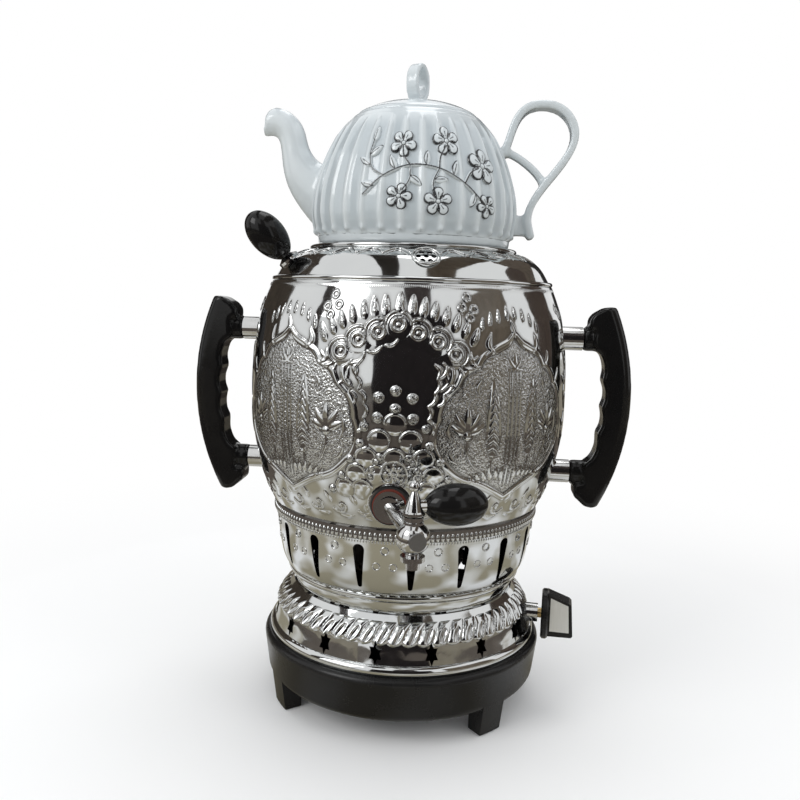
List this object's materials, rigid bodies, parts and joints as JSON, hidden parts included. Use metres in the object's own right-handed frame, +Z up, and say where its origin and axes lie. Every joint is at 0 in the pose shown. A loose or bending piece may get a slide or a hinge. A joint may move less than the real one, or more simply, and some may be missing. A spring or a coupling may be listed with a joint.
{
  "type": "gas samovar with teapot",
  "caption": "Table samovar on a black base: gas burner with a side knob, embossed chromed barrel, front tap with a black handle, and a fluted white teapot on its lid",
  "frame": {"origin": "on the barrel's vertical axis, at the level on which the feet stand", "axes": "+Z up, -Y towards the front with the tap, +X towards the side with the gas knob and the teapot's handle"},
  "size_m": [0.3106, 0.3068, 0.4429],
  "materials": {
    "chromed_sheet": "polished",
    "chromed_fitting": "polished",
    "plated_steel": "satin",
    "seam_steel": "satin",
    "black_moulding": "gloss",
    "black_handle": "gloss",
    "valve_brass": "satin",
    "burner_iron": "rough",
    "seal_rubber": "matt",
    "seal_fibre": "matt",
    "spring_steel": "satin",
    "knob_inlay": "brushed",
    "porcelain": "glazed"
  },
  "bodies": {
    "samovar": {"base_nuts": "plated_steel", "base_screws": "plated_steel", "base_tray": "black_moulding", "burner_body": "burner_iron", "burner_cap": "burner_iron", "burner_plate": "plated_steel", "burner_screws": "plated_steel", "burner_skirt": "chromed_sheet", "foot_collar": "chromed_sheet", "gas_feed_pipe": "valve_brass", "gas_inlet": "valve_brass", "gas_inlet_nuts": "plated_steel", "gas_jet": "valve_brass", "gas_valve_body": "valve_brass", "handle_nuts": "plated_steel", "handle_studs": "plated_steel", "handle_washers": "plated_steel", "left_grip": "black_handle", "left_lower_ferrule": "chromed_fitting", "left_upper_ferrule": "chromed_fitting", "right_grip": "black_handle", "right_lower_ferrule": "chromed_fitting", "right_upper_ferrule": "chromed_fitting", "seam_ring": "seam_steel", "tank_pan": "plated_steel", "tank_shell": "chromed_sheet", "tap_back_nut": "plated_steel", "tap_body": "chromed_fitting", "tap_face_plug": "chromed_fitting", "tap_fibre_washer": "seal_fibre", "tap_rubber_washer": "seal_rubber", "tie_nuts": "plated_steel", "tie_rods": "plated_steel", "valve_bezel": "black_moulding", "valve_lock_nut": "plated_steel", "valve_sleeve": "chromed_fitting", "waist_ring": "chromed_sheet"},
    "lid": {"lid_dome": "chromed_sheet", "teapot_ring": "chromed_sheet", "lid_knob": "black_handle", "lid_knob_seat": "chromed_fitting", "lid_knob_screw": "plated_steel"},
    "teapot": {"teapot": "porcelain"},
    "teapot_lid": {"teapot_lid": "porcelain"},
    "tap_key": {"tap_key": "chromed_fitting", "tap_handle": "black_handle", "tap_handle_pin": "plated_steel"},
    "gas_plug": {"valve_plug": "valve_brass", "valve_spring": "spring_steel"},
    "gas_knob": {"valve_stem": "valve_brass", "gas_knob": "black_moulding", "gas_knob_plate": "knob_inlay"}
  },
  "joints": [
    {"name": "lid_lift", "type": "slide", "parent": "samovar", "child": "lid", "axis": [0, 0, 1], "range_m": [0, 0.06]},
    {"name": "teapot_lift", "type": "slide", "parent": "lid", "child": "teapot", "axis": [0, 0, 1], "range_m": [0, 0.05]},
    {"name": "teapot_lid_lift", "type": "slide", "parent": "teapot", "child": "teapot_lid", "axis": [0, 0, 1], "range_m": [0, 0.03]},
    {"name": "tap_turn", "type": "hinge", "parent": "samovar", "child": "tap_key", "pos_m": [0.0176, -0.144, 0.1545], "axis": [0, 0, -1], "range_deg": [0, 90]},
    {"name": "gas_turn", "type": "hinge", "parent": "samovar", "child": "gas_plug", "pos_m": [0, 0, 0.063], "axis": [0.9952, -0.0976, 0], "range_deg": [0, 180]},
    {"name": "gas_push", "type": "slide", "parent": "gas_plug", "child": "gas_knob", "axis": [-0.9952, 0.0976, 0], "range_m": [0, 0.0022], "stiffness_N_per_m": 800, "springref_m": -0.002}
  ]
}
